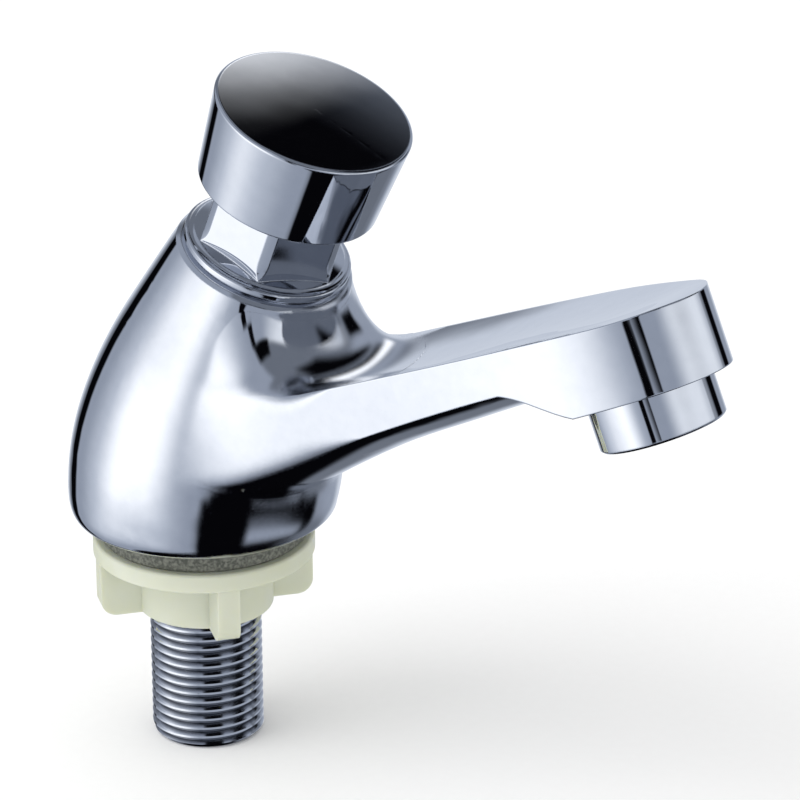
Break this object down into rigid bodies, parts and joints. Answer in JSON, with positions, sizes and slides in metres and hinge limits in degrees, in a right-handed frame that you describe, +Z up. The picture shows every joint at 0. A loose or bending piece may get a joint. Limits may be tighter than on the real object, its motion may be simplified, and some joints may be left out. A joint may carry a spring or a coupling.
{
  "type": "push timed tap",
  "caption": "Self-closing basin tap with a round push button, a leaning pear-shaped body, a rising spout with aerator, and a threaded shank with backnut.",
  "frame": {"origin": "on the axis of the inlet shank, where the underside of the base gasket meets the top of the deck", "axes": "+X from the shank towards the end of the spout, +Y to the left of the spout, +Z up"},
  "size_m": [0.1392, 0.0506, 0.1357],
  "materials": {
    "chromed_brass": "polished chrome plate on brass",
    "brass": "turned brass",
    "stainless_steel": "bright stainless steel",
    "rubber": "black sealing rubber",
    "gasket_rubber": "grey speckled rubber",
    "ivory_nylon": "moulded nylon, satin",
    "white_plastic": "moulded acetal, satin",
    "grey_plastic": "moulded plastic"
  },
  "bodies": {
    "tap": {"body_casting": "chromed_brass", "inlet_shank": "chromed_brass", "base_gasket": "gasket_rubber", "bonnet": "chromed_brass", "bonnet_o_ring": "rubber", "guide_bush": "white_plastic", "spindle_seal": "rubber", "gland_washer": "brass", "valve_seat": "brass", "seat_o_ring": "rubber", "return_spring": "stainless_steel", "aerator_housing": "chromed_brass", "aerator_insert": "white_plastic", "aerator_screen": "stainless_steel", "aerator_gasket": "rubber", "inlet_strainer": "stainless_steel", "flow_regulator": "grey_plastic"},
    "button": {"push_button": "chromed_brass", "spindle_locknut": "brass", "spring_cap": "stainless_steel", "spindle": "stainless_steel", "backing_washer": "brass", "cup_seal": "rubber", "timing_piston": "white_plastic", "piston_circlip": "stainless_steel", "metering_pin": "stainless_steel", "valve_washer": "rubber", "valve_disc": "brass", "valve_nut": "brass"},
    "backnut": {"backnut": "ivory_nylon"}
  },
  "joints": [
    {"name": "button_press", "type": "slide", "parent": "tap", "child": "button", "axis": [-0.3633, 0, -0.9317], "range_m": [0, 0.0065], "stiffness_N_per_m": 1240, "springref_m": -0.0084, "deforming": ["return_spring"]},
    {"name": "backnut_travel", "type": "slide", "parent": "tap", "child": "backnut", "axis": [0, 0, 1], "range_m": [-0.0255, 0]}
  ]
}
